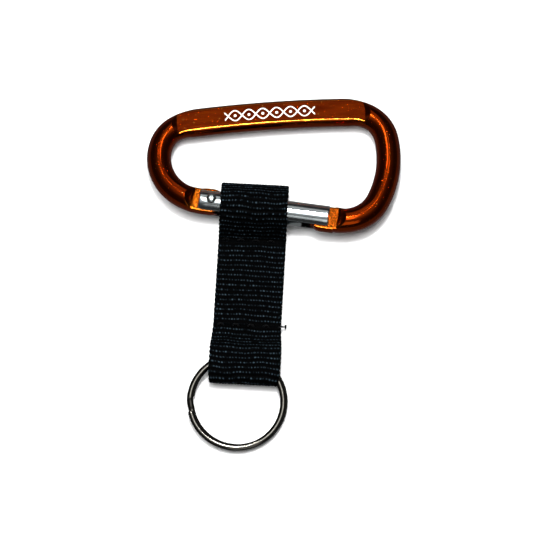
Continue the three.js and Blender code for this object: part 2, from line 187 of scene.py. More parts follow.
def face_outward(piece):
    """Turns the faces round if the mesh is inside out."""
    mesh = piece.data
    count = len(mesh.vertices)
    points = np.zeros(count * 3)
    mesh.vertices.foreach_get("co", points)
    points = points.reshape(-1, 3)
    points = points - points.mean(axis=0)
    mesh.calc_loop_triangles()
    corners = np.zeros(len(mesh.loop_triangles) * 3, int)
    mesh.loop_triangles.foreach_get("vertices", corners)
    a, b, c = (points[corners.reshape(-1, 3)[:, i]] for i in range(3))
    if np.einsum("ij,ij->i", a, np.cross(b, c)).sum() < 0:
        mesh.flip_normals()
    return piece


def loft(name, rings, place, closed=False, sharp_degrees=35.0):
    rings = np.asarray(rings, float)
    faces = loft_faces(len(rings), rings.shape[1], closed=closed)
    return face_outward(add_mesh(name, place(rings.reshape(-1, 3)), faces, sharp_degrees))


def store(piece, name, values, kind="FLOAT_VECTOR"):
    attribute = piece.data.attributes.new(name, kind, "POINT")
    key = "vector" if kind == "FLOAT_VECTOR" else "value"
    attribute.data.foreach_set(key, np.asarray(values, np.float32).ravel())


def smoothstep(low, high, value):
    t = np.clip((np.asarray(value, float) - low) / (high - low), 0.0, 1.0)
    return t * t * (3 - 2 * t)


def turned(name, profile, place, sides=96, axis="x"):
    """A turned piece from (along, radius) points that start and end on the axis."""
    rings = []
    turn = np.linspace(0, 2 * math.pi, sides, endpoint=False)
    for along, radius in profile:
        radius = max(radius, 0.002)
        circle = [np.full(sides, along), radius * np.cos(turn), radius * np.sin(turn)]
        if axis == "z":
            circle = [circle[1], circle[2], circle[0]]
        rings.append(np.stack(circle, axis=-1))
    return loft(name, rings, place)


def box(name, low, high, place):
    corners = [(x, y, z) for x in (low[0], high[0])
               for y in (low[1], high[1]) for z in (low[2], high[2])]
    faces = [(0, 1, 3, 2), (4, 6, 7, 5), (0, 4, 5, 1), (2, 3, 7, 6), (0, 2, 6, 4), (1, 5, 7, 3)]
    return face_outward(add_mesh(name, place(corners), faces))


def cut(piece, tools):
    """Subtracts each tool and removes it."""
    for tool in tools:
        modifier = piece.modifiers.new("cut", "BOOLEAN")
        modifier.operation = "DIFFERENCE"
        modifier.solver = "EXACT"
        modifier.object = tool
        apply_modifiers(piece)
        bpy.data.objects.remove(tool)


def apply_modifiers(piece):
    evaluated = piece.evaluated_get(bpy.context.evaluated_depsgraph_get())
    mesh = bpy.data.meshes.new_from_object(evaluated)
    piece.modifiers.clear()
    piece.data = mesh


def soften(piece, width, degrees=28.0):
    """Rounds the sharp edges over, so that they catch the light."""
    bevel = piece.modifiers.new("edges", "BEVEL")
    bevel.width = width * MM
    bevel.segments = 2
    bevel.limit_method = "ANGLE"
    bevel.angle_limit = math.radians(degrees)
    bevel.harden_normals = True
    apply_modifiers(piece)


# ------------------------------------------------------------------ materials

class Surface:
    """A Principled material with short calls for its nodes."""

    def __init__(self, name, **constants):
        self.material = bpy.data.materials.new(name)
        self.material.use_nodes = True
        self.tree = self.material.node_tree
        self.shader = self.tree.nodes["Principled BSDF"]
        for socket, value in constants.items():
            self.shader.inputs[socket.replace("_", " ")].default_value = value

    def node(self, kind, values=(), **settings):
        made = self.tree.nodes.new("ShaderNode" + kind)
        for key, value in settings.items():
            setattr(made, key, value)
        for socket, value in dict(values).items():
            self.feed(made.inputs[socket], value)
        return made

    def feed(self, socket, value):
        if isinstance(value, bpy.types.NodeSocket):
            self.tree.links.new(value, socket)
        else:
            socket.default_value = value

    def math(self, operation, first, second=0.0):
        return self.node("Math", {0: first, 1: second}, operation=operation).outputs[0]

    def attribute(self, name):
        return self.node("Attribute", attribute_name=name).outputs["Vector"]

    def value(self, name):
        return self.node("Attribute", attribute_name=name).outputs["Fac"]

    def position(self):
        """The piece's own coordinates, in millimetres."""
        place = self.node("TexCoord").outputs["Object"]
        return self.stretched(place, (1 / MM, 1 / MM, 1 / MM))

    def stretched(self, vector, scale):
        return self.node("Mapping", {"Vector": vector, "Scale": scale}).outputs[0]

    def noise(self, vector, scale, detail=3.0, roughness=0.55):
        values = {"Vector": vector, "Scale": scale, "Detail": detail, "Roughness": roughness}
        return self.node("TexNoise", values).outputs[0]

    def cells(self, vector, scale):
        values = {"Vector": vector, "Scale": scale}
        return self.node("TexVoronoi", values).outputs["Distance"]

    def remap(self, value, low, high, to_low=0.0, to_high=1.0):
        values = {0: value, 1: low, 2: high, 3: to_low, 4: to_high}
        return self.node("MapRange", values).outputs[0]

    def mix(self, share, first, second):
        made = self.node("Mix", data_type="RGBA")
        self.feed(made.inputs[0], share)
        self.feed(made.inputs[6], first)
        self.feed(made.inputs[7], second)
        return made.outputs[2]

    def bump(self, height, strength, distance_mm, after=None):
        values = {"Height": height, "Strength": strength, "Distance": distance_mm * MM}
        if after is not None:
            values["Normal"] = after
        return self.node("Bump", values).outputs[0]

    def finish(self, **sockets):
        for socket, value in sockets.items():
            self.feed(self.shader.inputs[socket.replace("_", " ")], value)
        return self.material


DYE_DEEP, DYE_FULL = (0.25, 0.022, 0.0004, 1), (0.34, 0.038, 0.0009, 1)
# The second colour below is a painted golden glint for sparse flecks, not part of the dye.
DYE_LINE, PAINTED_GLINT_FLECK = (0.42, 0.07, 0.003, 1), (0.95, 0.55, 0.12, 1)
# The next colour is the rubbed edges' lighter dye with a painted highlight on top of it.
RUBBED_EDGE_AND_HIGHLIGHT = (0.7, 0.28, 0.03, 1)
PRESSED_DEEP, PRESSED_THIN = (0.06, 0.007, 0.0002, 1), (0.36, 0.09, 0.005, 1)
# The nose tongue's pressed flats are coloured darker than the hinge tongue's.
NOSE_FLAT_DARKER, NOSE_FLAT_LENGTH = (0.08, 0.012, 0.0004, 1), 6
PRINT_WHITE = (0.86, 0.84, 0.80, 1)


def anodised_metal():
    """Drawn rod under orange-brown dye: lengthwise lines, fine pits, flecks of painted golden glint,
    and thin dye on its edges that is painted lighter there as an edge highlight.
    """
    surface = Surface("anodised_aluminium", Metallic=1.0, Coat_Weight=0.03, Coat_Roughness=0.12)
    rod = surface.attribute("rod")
    lines = surface.noise(surface.stretched(rod, (0.12, 5.0, 5.0)), 1.0, 4.0)
    broad = surface.noise(surface.stretched(rod, (0.1, 0.5, 0.5)), 1.0, 2.0)
    pits = surface.cells(surface.stretched(rod, (1.0, 1.0, 1.0)), 1.3)
    pit_depth = surface.remap(pits, 0.05, 0.16)
    grain = surface.noise(rod, 9.0, 2.0)
    dye = surface.mix(surface.remap(broad, 0.35, 0.65), DYE_DEEP, DYE_FULL)
    dye = surface.mix(surface.remap(lines, 0.5, 0.75, 0.0, 0.7), dye, DYE_LINE)
    # Painted glint: sparse bright golden flecks put into the colour where the rod would sparkle in
    # the light.
    glint_fleck_mask = surface.remap(surface.cells(rod, 0.55), 0.05, 0.1, 1.0, 0.0)
    dye = surface.mix(surface.math("MULTIPLY", glint_fleck_mask, 0.8), dye, PAINTED_GLINT_FLECK)
    # Rubbed edges, lightened further by a painted highlight that runs broken along each pressed
    # flat's edge.
    edge_breakup = surface.remap(grain, 0.35, 0.6, 0.1, 1.0)
    edge_rub_and_highlight = surface.math("MULTIPLY", surface.value("edge"), edge_breakup)
    dye = surface.mix(edge_rub_and_highlight, dye, RUBBED_EDGE_AND_HIGHLIGHT)
    speckle = surface.mix(surface.remap(grain, 0.42, 0.62), PRESSED_DEEP, PRESSED_THIN)
    along = surface.node("SeparateXYZ", {0: rod}).outputs[0]
    # Pressed flats in the last millimetres of the rod, at the nose, are coloured darker.
    nose = surface.math("GREATER_THAN", along, NECK + ROD_LENGTH - NOSE_FLAT_LENGTH)
    speckle = surface.mix(surface.math("MULTIPLY", nose, 0.6), speckle, NOSE_FLAT_DARKER)
    dye = surface.mix(surface.value("press"), dye, speckle)
    white = printed_chain(surface, rod)
    colour = surface.mix(white, dye, PRINT_WHITE)
    rough = surface.remap(lines, 0.3, 0.7, 0.08, 0.15)
    rough = surface.math("ADD", rough, surface.math("MULTIPLY", surface.value("press"), 0.05))
    rough = surface.math("ADD", rough, surface.math("MULTIPLY", white, 0.3))
    metallic = surface.math("SUBTRACT", 1.0, white)
    normal = surface.bump(lines, 0.35, 0.025)
    normal = surface.bump(pit_depth, 0.8, 0.05, normal)
    pressed_grain = surface.math("MULTIPLY", grain, surface.value("press"))
    normal = surface.bump(pressed_grain, 0.3, 0.04, normal)
    return surface.finish(Base_Color=colour, Roughness=rough, Metallic=metallic, Normal=normal)


PRINT_MIDDLE, PRINT_HALF = 64.2, 13.0   # along the rod from the tongue's facet
PRINT_HEIGHT, PRINT_LINK = 1.55, 4.0
PRINT_LINE, PRINT_STEEP_LINE = 0.15, 0.12    # half the line's width, and what slope adds to it
PRINT_DOT = 0.16                        # square of the dots' radius


def printed_chain(surface, rod):
    """White ink on the front of the spine: two waves that cross to make a plain chain of eyes."""
    parts = surface.node("SeparateXYZ", {0: rod}).outputs
    along = surface.math("SUBTRACT", parts[0], PRINT_MIDDLE)
    phase = surface.math("MULTIPLY", along, math.pi / PRINT_LINK)
    wave = surface.math("MULTIPLY", surface.math("SINE", phase), PRINT_HEIGHT)
    lines = []
    for sign in ("SUBTRACT", "ADD"):
        apart = surface.math("ABSOLUTE", surface.math(sign, parts[1], wave))
        slope = surface.math("ABSOLUTE", surface.math("COSINE", phase))
        width = surface.math("MULTIPLY", slope, PRINT_STEEP_LINE)
        width = surface.math("ADD", width, PRINT_LINE)
        lines.append(surface.math("LESS_THAN", apart, width))
    half_link = surface.math("ADD", along, PRINT_LINK / 2)
    eye = surface.math("PINGPONG", half_link, PRINT_LINK / 2)
    across_squared = surface.math("MULTIPLY", parts[1], parts[1])
    spot = surface.math("ADD", surface.math("MULTIPLY", eye, eye), across_squared)
    lines.append(surface.math("LESS_THAN", spot, PRINT_DOT))
    drawn = surface.math("MAXIMUM", surface.math("MAXIMUM", lines[0], lines[1]), lines[2])
    inside = surface.math("LESS_THAN", surface.math("ABSOLUTE", along), PRINT_HALF)
    front = surface.math("GREATER_THAN", parts[2], SPINE["top"] - 0.1)
    return surface.math("MULTIPLY", drawn, surface.math("MULTIPLY", inside, front))


def bare_metal(name, colour, rough, scratch):
    """Bare turned metal with fine lines round it, stray scratches and slight smudging."""
    surface = Surface(name, Metallic=1.0)
    place = surface.position()
    fine = surface.noise(surface.stretched(place, (3.0, 0.8, 0.8)), 1.0, 4.0)
    smudge = surface.noise(place, 0.35, 3.0)
    marks = surface.noise(surface.stretched(place, (0.9, 5.0, 5.0)), 1.6, 5.0, 0.7)
    scratches = surface.remap(marks, 0.66, 0.72)
    dark = tuple(0.72 * c for c in colour) + (1,)
    tint = surface.mix(surface.remap(smudge, 0.35, 0.7, 0.0, 0.5), colour + (1,), dark)
    tint = surface.mix(surface.math("MULTIPLY", scratches, 0.5), tint, (0.9, 0.9, 0.9, 1))
    roughness = surface.remap(fine, 0.3, 0.7, rough - 0.05, rough + 0.08)
    roughness = surface.math("ADD", roughness, surface.math("MULTIPLY", scratches, 0.12))
    normal = surface.bump(fine, 0.1, 0.006)
    normal = surface.bump(scratches, scratch, 0.03, normal)
    return surface.finish(Base_Color=tint, Roughness=roughness, Normal=normal)


# Painted light on the webbing: shade in the valleys, lighter crests, and a cool painted glint.
NYLON_SHADED_VALLEY, NYLON_LIT_CREST = (0.0002, 0.0002, 0.0002, 1), (0.0006, 0.001, 0.0014, 1)
NYLON_GLINT = (0.03, 0.048, 0.061, 1)
THREAD_DARK, THREAD_LIGHT = (0.0003, 0.0003, 0.0003, 1), (0.0015, 0.002, 0.0028, 1)
TABLE_DARK, TABLE_LIGHT = (0.86, 0.86, 0.86, 1), (0.9, 0.9, 0.9, 1)


def webbing_cloth():
    """Black nylon: fibres along each yarn, painted shade in the valleys with lighter crests, and a
    painted cool glint on the crests of some yarns.
    """
    surface = Surface("black_webbing", Sheen_Weight=0.002, Sheen_Roughness=0.4,
                      Specular_IOR_Level=0.012)
    weave = surface.attribute("weave")
    crest = surface.value("crest")
    fibres = surface.noise(surface.stretched(weave, (14.0, 2.2, 2.0)), 1.0, 3.0)
    yarns = surface.noise(surface.stretched(weave, (1.9, 0.66, 1.0)), 1.0, 1.0)
    chosen = surface.remap(yarns, 0.42, 0.6)
    # Painted glint on chosen crests, over painted shade in the valleys and painted light on the
    # crests.
    glint = surface.math("MULTIPLY", surface.remap(crest, 0.72, 0.95), chosen)
    base = surface.mix(crest, NYLON_SHADED_VALLEY, NYLON_LIT_CREST)
    base = surface.mix(glint, base, NYLON_GLINT)
    rough = surface.remap(fibres, 0.3, 0.7, 0.45, 0.7)
    normal = surface.bump(fibres, 0.5, 0.05)
    return surface.finish(Base_Color=base, Roughness=rough, Normal=normal)


def thread_cloth():
    """Black thread with its twisted strands."""
    surface = Surface("black_thread", Sheen_Weight=0.01, Specular_IOR_Level=0.1)
    twist = surface.attribute("weave")
    strands = surface.node("TexWave", {"Vector": twist, "Scale": 1.1, "Distortion": 0.6}).outputs[1]
    base = surface.mix(strands, THREAD_DARK, THREAD_LIGHT)
    rough = surface.remap(strands, 0.0, 1.0, 0.6, 0.4)
    return surface.finish(Base_Color=base, Roughness=rough, Normal=surface.bump(strands, 0.5, 0.04))


def floor_paper():
    surface = Surface("white_table", Specular_IOR_Level=0.1)
    tooth = surface.noise(surface.position(), 0.6, 3.0)
    base = surface.mix(tooth, TABLE_DARK, TABLE_LIGHT)
    return surface.finish(Base_Color=base, Roughness=surface.remap(tooth, 0.0, 1.0, 0.8, 0.95))


def coat(piece, material):
    piece.data.materials.clear()
    piece.data.materials.append(material)


# ------------------------------------------------------------------ carabiner frame

def rod_at(distance):
    """Point and heading of the rod's middle, in the carabiner's plane."""
    slope = math.radians(-GATE_SLOPE)
    u, v = TONGUE_FACET * math.cos(slope), TONGUE_FACET * math.sin(slope)
    heading = math.radians(180 - GATE_SLOPE)
    left = distance
    for length, turn in ROD_STRETCHES:
        run = min(left, length)
        swing = math.radians(turn) * run / length
        chord = run if swing == 0 else run * math.sin(swing / 2) / (swing / 2)
        u += chord * math.cos(heading - swing / 2)
        v += chord * math.sin(heading - swing / 2)
        heading -= swing
        left -= run
        if left <= 0:
            break
    return u, v, heading


def mixed(first, second, share):
    return {key: first[key] + (second[key] - first[key]) * share for key in first}


def rod_section(distance):
    """Half width, dome height and flat height at a distance from the tongue's facet."""
    own = distance - NECK
    from_end = min(own, ROD_LENGTH - own) - TONGUE_FLAT["length"]
    if from_end < TONGUE_FLAT["ramp"]:
        share = 1 - np.clip(from_end / TONGUE_FLAT["ramp"], 0, 1)
        return mixed(ROUND, TONGUE, share)
    outside = max(SPINE_FLAT["start"] - own, own - SPINE_FLAT["end"])
    spread = float(1 - smoothstep(-SPINE_FLAT["spread"], SPINE_FLAT["ramp"], outside))
    section = mixed(ROUND, SPINE, spread)
    closed = 1 - np.clip(outside / SPINE_FLAT["ramp"], 0, 1)
    section["top"] = ROUND["top"] + (SPINE["top"] - ROUND["top"]) * closed
    return section


FLAT_POINTS, FLANK_POINTS, FILLET_POINTS = 9, 22, 5
LEAST_DOME, STEEPEST_EDGE = 0.002, 84   # millimetres above the flat, and degrees


def section_outline(section, outer, inner):
    """A pressed oval as (across, up) points with its softened edges marked. outer and inner are
    its half widths away from the window (across above 0) and towards it."""
    top, dome = section["top"], max(section["dome"], section["top"] + LEAST_DOME)
    edge_angle = min(math.asin(top / dome), math.radians(STEEPEST_EDGE))
    points, edges = [], []
    for side, half in ((1, outer), (-1, inner)):
        corner = np.array([half * math.cos(edge_angle), min(top, dome * math.sin(edge_angle))])
        soft = min(FILLET, corner[0] * 0.4)
        on_flat = np.array([corner[0] - soft, top])
        after = edge_angle - soft / dome
        on_flank = np.array([half * math.cos(after), dome * math.sin(after)])
        quarter, marks = [], []
        for share in np.linspace(0, 1, FLAT_POINTS):
            quarter.append(np.array([on_flat[0] * share, top]))
            marks.append(0.0)
        for share in np.linspace(0, 1, FILLET_POINTS)[1:]:
            quarter.append((1 - share) ** 2 * on_flat + 2 * share * (1 - share) * corner
                           + share ** 2 * on_flank)
            marks.append(1.0 if share < 1 else 0.3)
        for angle in np.linspace(after, 0, FLANK_POINTS)[1:]:
            quarter.append(np.array([half * math.cos(angle), dome * math.sin(angle)]))
            marks.append(0.0)
        quarter, marks = np.array(quarter), np.array(marks)
        lower = quarter[::-1][1:] * (1, -1)
        whole = np.vstack([quarter, lower])
        whole_marks = np.concatenate([marks, marks[::-1][1:]])
        if side == 1:
            points.append(whole)
            edges.append(whole_marks)
        else:
            points.append((whole * (-1, 1))[::-1][1:-1])
            edges.append(whole_marks[::-1][1:-1])
    return np.vstack(points), np.concatenate(edges)


def rod_distances():
    """Sections close together on the ramps and at the tongues' ends, and wider apart elsewhere."""
    total = sum(length for length, _ in ROD_STRETCHES)
    nose_root = NECK + ROD_LENGTH
    spine_start, spine_end = NECK + SPINE_FLAT["start"], NECK + SPINE_FLAT["end"]
    spine_ramp, tongue_ramp = SPINE_FLAT["ramp"], TONGUE_FLAT["ramp"]
    neck_flat, nose_flat = NECK + TONGUE_FLAT["length"], nose_root - TONGUE_FLAT["length"]
    margin = 0.4
    spacing = {                         # where a stretch starts, and its spacing
        0.0: 0.12, 3.6: 0.4, neck_flat - margin: 0.1, neck_flat + tongue_ramp + margin: 0.5,
        spine_start - spine_ramp - margin: 0.1, spine_start + margin: 0.7,
        spine_end - margin: 0.1, spine_end + spine_ramp + margin: 0.5,
        nose_flat - tongue_ramp - margin: 0.1, nose_flat + margin: 0.4, nose_root + 0.8: 0.1,
    }
    edges = sorted(spacing) + [total]
    distances = []
    for low, high in zip(edges, edges[1:]):
        count = max(1, round((high - low) / spacing[low]))
        distances += list(np.linspace(low, high, count, endpoint=False))
    exact = [
        spine_start, spine_start - spine_ramp, spine_end, spine_end + spine_ramp,
        neck_flat, neck_flat + tongue_ramp, nose_flat, nose_flat - tongue_ramp,
    ]
    too_close = 0.04
    kept = [d for d in distances if min(abs(d - e) for e in exact) > too_close]
    return sorted(kept + exact + [total])


def skew_at(own):
    """How far the sections lean forward across the rod, near the spine flat's two ends."""
    reach = 4.0
    near_start = math.exp(-((own - SPINE_FLAT["start"]) / reach) ** 2)
    near_end = math.exp(-((own - SPINE_FLAT["end"]) / reach) ** 2)
    return SPINE_FLAT_SKEW[0] * near_start + SPINE_FLAT_SKEW[1] * near_end


def half_widths(distance, section):
    """The rod's half widths away from the window, then towards it."""
    nose_root = NECK + ROD_LENGTH
    if distance < TONGUE_FACET:
        reach = TONGUE_FACET - distance
        round_end = math.sqrt(max(TONGUE_RADIUS ** 2 - reach ** 2, 0.01))
        lip_end = math.sqrt(max((TONGUE["half"] + TONGUE_LIP) ** 2 - reach ** 2, 0.01))
        return round_end, lip_end
    if distance <= nose_root - 0.3:
        lip = TONGUE_LIP * float(1 - smoothstep(NECK - 2.6, NECK + 0.6, distance))
        return section["half"], section["half"] + lip
    past = distance - nose_root
    inner = NOSE_SHOULDER if past < NOSE_SHOULDER_LENGTH else NOSE_INNER
    outer = NOSE_OUTER
    tip = NOSE_LENGTH - past
    if tip < NOSE_CORNER:
        into_corner = NOSE_CORNER - max(tip, 0.0)
        outer -= NOSE_CORNER - math.sqrt(max(NOSE_CORNER ** 2 - into_corner ** 2, 0.0))
    return outer + nose_root_across, inner - nose_root_across


def across_gate(distance):
    """How far the rod's middle lies from the gate's axis, towards the spine."""
    u, v, _ = rod_at(distance)
    slope = math.radians(GATE_SLOPE)
    return u * math.sin(slope) + v * math.cos(slope)


nose_root_across = across_gate(NECK + ROD_LENGTH)


def drill(name, start, end, radius, axis="x"):
    """A cutting tool: a plain cylinder on one of the gate's axes."""
    return turned(name, [(start, 0), (start, radius), (end, radius), (end, 0)], on_gate, 48, axis)


def rivet_hole(reach):
    return drill("rivet_hole", -reach, reach, RIVET_SHANK + RIVET_CLEARANCE, "z")


def carabiner_rod():
    """The bent and pressed rod, with its coordinates, rubbed edges that carry a painted highlight,
    and pressed faces marked.
    """
    rings, rods, edges, presses = [], [], [], []
    for distance in rod_distances():
        section = rod_section(distance)
        outline, marks = section_outline(section, *half_widths(distance, section))
        skew = skew_at(distance - NECK)
        pressed = float(section["top"] < 2.0)
        ring = []
        for (across, up), mark in zip(outline, marks):
            u, v, heading = rod_at(max(distance + across * skew, 0.0))
            ring.append((u - across * math.sin(heading), v + across * math.cos(heading), up))
            rods.append((distance, across, up))
            edges.append(mark * (section["top"] < ROUND["top"] - 0.6))
            presses.append(pressed * (abs(up) > section["top"] - 0.05))
        rings.append(ring)
    piece = loft("carabiner_rod", rings, on_carabiner, sharp_degrees=22.0)
    store(piece, "rod", rods)
    store(piece, "edge", edges, "FLOAT")
    store(piece, "press", presses, "FLOAT")
    cut(piece, [rivet_hole(4)])
    return piece


# ------------------------------------------------------------------ gate and what is in it

def gate_bar():
    """The bar, rounded and slotted at both ends, bored for its spring and drilled for its rivet."""
    profile = [(GATE_BACK, 0), (GATE_BACK, GATE_RADIUS - GATE_CHAMFER)]
    for angle in np.linspace(0, math.pi / 2, 7)[1:]:
        profile.append((GATE_BACK + GATE_CHAMFER * (1 - math.cos(angle)),
                        GATE_RADIUS - GATE_CHAMFER * (1 - math.sin(angle))))
    profile += [(x, GATE_RADIUS) for x in np.linspace(GATE_BACK + 2, GATE_FRONT - 2, 12)]
    for angle in np.linspace(math.pi / 2, 0, 7):
        profile.append((GATE_FRONT - GATE_CHAMFER * (1 - math.cos(angle)),
                        GATE_RADIUS - GATE_CHAMFER * (1 - math.sin(angle))))
    profile += [(GATE_FRONT, 0)]
    piece = turned("gate_bar", profile, on_gate, 128)
    wide = 2 * GATE_RADIUS
    tools = [
        box("hinge_slot", (GATE_BACK - 1, -wide, -SLOT_HALF),
            (HINGE_SLOT_END, wide, SLOT_HALF), on_gate),
        box("nose_slot", (NOSE_SLOT_START, -wide, -SLOT_HALF),
            (GATE_FRONT + 1, NOSE_SLOT_WALL, SLOT_HALF), on_gate),
        drill("bore", HINGE_SLOT_END - 1, BORE_END, BORE_RADIUS),
        rivet_hole(5),
    ]
    cut(piece, tools)
    soften(piece, 0.12)
    return piece


def domed_rivet():
    """The hinge's shank with a low dome at each end."""
    seat = GATE_RADIUS + RIVET_CLEARANCE
    dome = [(seat + RIVET_RISE * math.sin(a), RIVET_HEAD * math.cos(a) ** 0.8)
            for a in np.linspace(0, math.pi / 2, 12)[:-1]]
    dome.append((seat + RIVET_RISE, 0.0))
    upper = [(seat - 0.12, RIVET_SHANK), (seat - 0.12, RIVET_HEAD)] + dome
    lower = [(-along, radius) for along, radius in reversed(upper)]
    return turned("domed_rivet", lower + upper, on_gate, 64, "z")


PLUNGER_FACE = TONGUE_FACET + 0.3
SPRING_CLEARANCE = 0.2


def plunger_pin():
    """The plunger, with a pin on its back that keeps the spring in place."""
    bevel = 0.3
    back = PLUNGER_FACE + PLUNGER_LENGTH
    profile = [
        (PLUNGER_FACE, 0), (PLUNGER_FACE, PLUNGER_RADIUS - bevel),
        (PLUNGER_FACE + bevel, PLUNGER_RADIUS),
        (back - 0.1, PLUNGER_RADIUS), (back, PLUNGER_RADIUS - 0.1), (back, PLUNGER_PIN),
        (back + PLUNGER_PIN_LENGTH - 0.2, PLUNGER_PIN),
        (back + PLUNGER_PIN_LENGTH, PLUNGER_PIN - 0.2),
        (back + PLUNGER_PIN_LENGTH, 0),
    ]
    return turned("plunger_pin", profile, on_gate, 48)


def coil_spring():
    """A plain coil between the plunger's back and the end of the bore."""
    start = PLUNGER_FACE + PLUNGER_LENGTH + SPRING_CLEARANCE + SPRING_WIRE
    end = BORE_END - SPRING_CLEARANCE - SPRING_WIRE
    along = np.array([1, 0, 0])
    rings = []
    for turn in np.linspace(0, SPRING_TURNS, SPRING_TURNS * 28 + 1):
        angle = 2 * math.pi * turn
        outward = np.array([0, math.cos(angle), math.sin(angle)])
        middle = outward * SPRING_RADIUS + (start + (end - start) * turn / SPRING_TURNS, 0, 0)
        around = np.linspace(0, 2 * math.pi, 10, endpoint=False)
        rings.append([middle + SPRING_WIRE * (math.cos(a) * outward + math.sin(a) * along)
                      for a in around])
    return loft("coil_spring", rings, on_gate)


# ------------------------------------------------------------------ webbing

def arc(y, z, radius, start, end, steps=60):
    angles = np.linspace(start, end, steps)
    return np.stack([y + radius * np.cos(angles), z + radius * np.sin(angles)], axis=-1)


def upper_side_view():
    """Middle of the ply from the cut, under the gate, round the fold, over the gate and back."""
    low, high = PLY / 2, 1.5 * PLY
    fold_y, fold_outer = TOP_FOLD
    fold, crest = fold_outer - low, CREST[2] + low
    rise, reach = CREST[1] - fold_outer, fold_y - CREST[0]
    between = math.hypot(reach, rise)
    tangent = math.pi / 2 - math.atan2(rise, reach) - math.asin((crest - fold) / between)
    drop, run = CREST[1] - high, -THROAT_Y
    leaving = math.pi + math.atan2(drop, run) - math.acos(crest / math.hypot(run, drop))
    return np.vstack([
        [(CUT_Y, low)],
        arc(fold_y, fold_outer, fold, -math.pi / 2, tangent),
        arc(CREST[0], CREST[1], crest, tangent, leaving),
        [(THROAT_Y, high), (CUT_Y, high)],
    ])


def lower_side_view():
    """Middle of the ply from the cut, over the ring, round the end fold and back underneath."""
    low, high = PLY / 2, 1.5 * PLY
    top = RING_LOOP_HEIGHT - low
    fold = (RING_LOOP_HEIGHT - PLY) / 2
    fold_y = RING_LOOP_END + RING_LOOP_HEIGHT / 2
    share = np.linspace(0, 1, 30)
    hump = np.stack([
        RING_LOOP_START + (RING_LOOP_CROWN - RING_LOOP_START) * share,
        high + (top - high) * smoothstep(0, 1, share),
    ], axis=-1)
    return np.vstack([
        [(CUT_Y, high)], hump,
        arc(fold_y, RING_LOOP_HEIGHT / 2, fold, math.pi / 2, 1.5 * math.pi),
        [(CUT_Y, low)],
    ])


def even_path(points, spacing):
    """The same line with its corners eased, in a whole number of ribs of even steps."""
    def resampled(line, count):
        run = np.concatenate([[0], np.cumsum(np.linalg.norm(np.diff(line, axis=0), axis=1))])
        at = np.linspace(0, run[-1], count)
        return np.stack([np.interp(at, run, line[:, i]) for i in (0, 1)], axis=-1), run[-1]

    dense, length = resampled(points, 1400)
    window = 31
    padded = np.vstack([
        dense[0] - (dense[window // 2:0:-1] - dense[0]),
        dense,
        dense[-1] - (dense[-2:-window // 2 - 1:-1] - dense[-1]),
    ])
    kernel = np.ones(window) / window
    eased = np.stack([np.convolve(padded[:, i], kernel, "valid") for i in (0, 1)], axis=-1)
    eased = eased[:len(dense)]
    ribs = round(length / RIB_PITCH)
    line, length = resampled(eased, ribs * spacing + 1)
    return line, ribs


ROWS_PER_RIB, COLUMNS_PER_YARN = 8, 7
RIB_ROUNDING, YARN_ROUNDING = 2.4, 0.97     # how square the ribs are, and how deep between yarns
RIB_SHARE, YARN_SHARE = 0.35, 0.65      # of a crest's height
ROW_STAGGER, ROW_SCATTER = 0.5, 0.12    # sideways shift of whole rows, in yarns
YARN_WANDER, WANDER_RATE = 0.06, 1.7
LOWEST_YARN, YARN_SCATTER = 0.8, 0.2
YARN_LOTS = 128                         # more yarns than a row has
BOWING = [(0.16, 0.33, 0.35), (0.07, 0.9, -0.5)]    # ribs bow by (size, rate across, rate along)
SEAM_WIDTH, SEAM_FLATTENS, SEAM_DEPTH = 0.48, 0.45, 0.26
INNER_RELIEF = 0.6                      # the inner face's relief as a share of the outer face's


def strap_columns():
    """Section stations as (across, thickness share, face) round one ply: outer face, then inner."""
    rounding = 0.42
    flat_half = STRAP_HALF - rounding
    fine = round(2 * flat_half / YARN_PITCH) * COLUMNS_PER_YARN
    corner = [(flat_half + rounding * math.sin(a), math.cos(a))
              for a in np.linspace(0, math.pi / 2, 5)[1:]]
    outer = [(-x, share) for x, share in reversed(corner)]
    outer += [(x, 1.0) for x in np.linspace(-flat_half, flat_half, fine + 1)]
    outer += corner
    inner = [(x, share) for x, share in reversed(corner[:-1])]
    inner += [(x, 1.0) for x in np.linspace(flat_half, -flat_half, 40)]
    inner += [(-x, share) for x, share in corner[:-1]]
    stations = [(x, share, 1.0) for x, share in outer] + [(x, share, -1.0) for x, share in inner]
    return np.array(stations)


def weave_height(rib_place, across, whole_ribs, seed):
    """0 in the valleys to 1 on the crests: ribs across the strap, each a row of warp yarns."""
    draw = np.random.default_rng(seed)
    row = np.clip(np.floor(rib_place), 0, whole_ribs - 1).astype(int)
    phase = rib_place - row
    rib = 1 - np.abs(np.cos(math.pi * np.clip(phase, 0, 1))) ** RIB_ROUNDING
    shift = (ROW_STAGGER * (row % 2)) + ROW_SCATTER * draw.standard_normal(whole_ribs)[row]
    wander = YARN_WANDER * np.sin(across * WANDER_RATE + row)
    yarn_place = across / YARN_PITCH + shift + wander
    yarn = np.floor(yarn_place).astype(int)
    inside = 2 * (yarn_place - yarn) - 1
    bump = np.sqrt(np.clip(1 - YARN_ROUNDING * inside ** 2, 0, 1))
    lot = draw.random((whole_ribs, YARN_LOTS))
    own = LOWEST_YARN + YARN_SCATTER * lot[row, (yarn + YARN_LOTS // 2) % YARN_LOTS]
    return rib * (RIB_SHARE + YARN_SHARE * bump * own)


